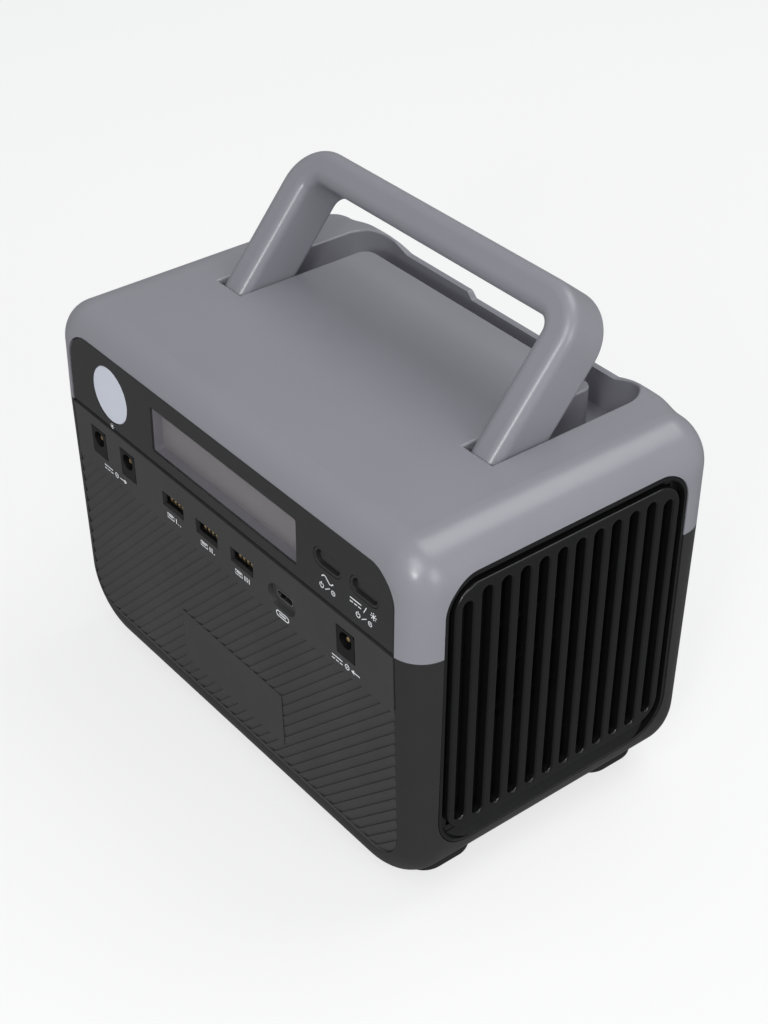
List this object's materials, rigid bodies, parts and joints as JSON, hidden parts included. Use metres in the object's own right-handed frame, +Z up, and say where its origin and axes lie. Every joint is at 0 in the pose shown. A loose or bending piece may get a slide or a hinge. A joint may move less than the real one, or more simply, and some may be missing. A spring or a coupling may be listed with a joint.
{
  "type": "portable power station",
  "caption": "Box-shaped battery power station with a folding carry handle, a front display, ports, a lamp and a fan grille on its side",
  "frame": {"origin": "on the floor, under the middle of the whole object's box, handle raised", "axes": "+Z up; -Y is the front with the display and ports; +X is the side with the fan grille"},
  "size_m": [0.2084, 0.1296, 0.1943],
  "materials": {
    "cover_plastic": "satin, fine moulded texture",
    "case_plastic": "satin, fine moulded texture",
    "dark_plastic": "moulded",
    "gloss_plastic": "glossy",
    "smoked_window": "smoked clear plastic",
    "display_grey": "unlit display",
    "frame_grey": "satin",
    "lens_white": "frosted translucent plastic",
    "key_plastic": "satin",
    "bright_metal": "nickel plated",
    "steel": "zinc plated",
    "rubber": "soft rubber",
    "circuit_board": "solder resist",
    "cell_wrap": "shrink sleeve",
    "ferrite": "sintered",
    "copper": "enamelled copper",
    "aluminium": "extruded"
  },
  "bodies": {
    "shell": {"top_cover": "cover_plastic", "lower_case": "case_plastic", "rubber_feet": "rubber", "case_screws": "steel", "front_fascia": "gloss_plastic", "display_window": "smoked_window", "display_frame": "frame_grey", "lcd_module": "display_grey", "light_lens": "lens_white", "light_reflector": "lens_white", "light_board": "circuit_board", "light_leds": "lens_white", "button_bezels": "gloss_plastic", "button_switches": "key_plastic", "display_board": "circuit_board", "display_standoffs": "dark_plastic", "port_panel": "case_plastic", "dc_output_jacks": "dark_plastic", "dc_input_jack": "dark_plastic", "jack_pins": "bright_metal", "usb_a_shells": "bright_metal", "usb_a_tongues": "dark_plastic", "usb_c_port": "bright_metal", "usb_c_tongue": "dark_plastic", "port_board": "circuit_board", "right_grille": "dark_plastic", "left_panel": "dark_plastic", "ac_outlet": "dark_plastic", "handle_pins": "steel", "friction_washers": "lens_white", "fan_frame": "dark_plastic", "fan_screws": "steel", "fan_posts": "rubber", "battery_cells": "cell_wrap", "cell_holder_lower": "dark_plastic", "cell_holder_upper": "dark_plastic", "nickel_strips": "bright_metal", "bms_board": "circuit_board", "bms_pads": "dark_plastic", "inverter_board": "circuit_board", "board_standoffs": "dark_plastic", "board_screws": "steel", "transformer_core": "ferrite", "transformer_coil": "copper", "heatsink": "aluminium", "power_transistors": "dark_plastic", "capacitors": "cell_wrap", "fuse_holder": "dark_plastic", "battery_leads": "copper"},
    "carry_handle": {"handle": "cover_plastic"},
    "ac_key": {"ac_button": "key_plastic"},
    "dc_key": {"dc_light_button": "key_plastic"},
    "fan_wheel": {"fan_rotor": "dark_plastic"}
  },
  "joints": [
    {"name": "handle_fold", "type": "hinge", "parent": "shell", "child": "carry_handle", "pos_m": [0, -0.003, 0.13885], "axis": [1, 0, 0], "range_deg": [-50.8, 0]},
    {"name": "ac_button_press", "type": "slide", "parent": "shell", "child": "ac_key", "axis": [0, 1, 0], "range_m": [0, 0.0012], "stiffness_N_per_m": 400},
    {"name": "dc_light_button_press", "type": "slide", "parent": "shell", "child": "dc_key", "axis": [0, 1, 0], "range_m": [0, 0.0012], "stiffness_N_per_m": 400},
    {"name": "fan_spin", "type": "hinge", "parent": "shell", "child": "fan_wheel", "pos_m": [0.09, -0.0004, 0.0961], "axis": [1, 0, 0], "continuous": true}
  ]
}
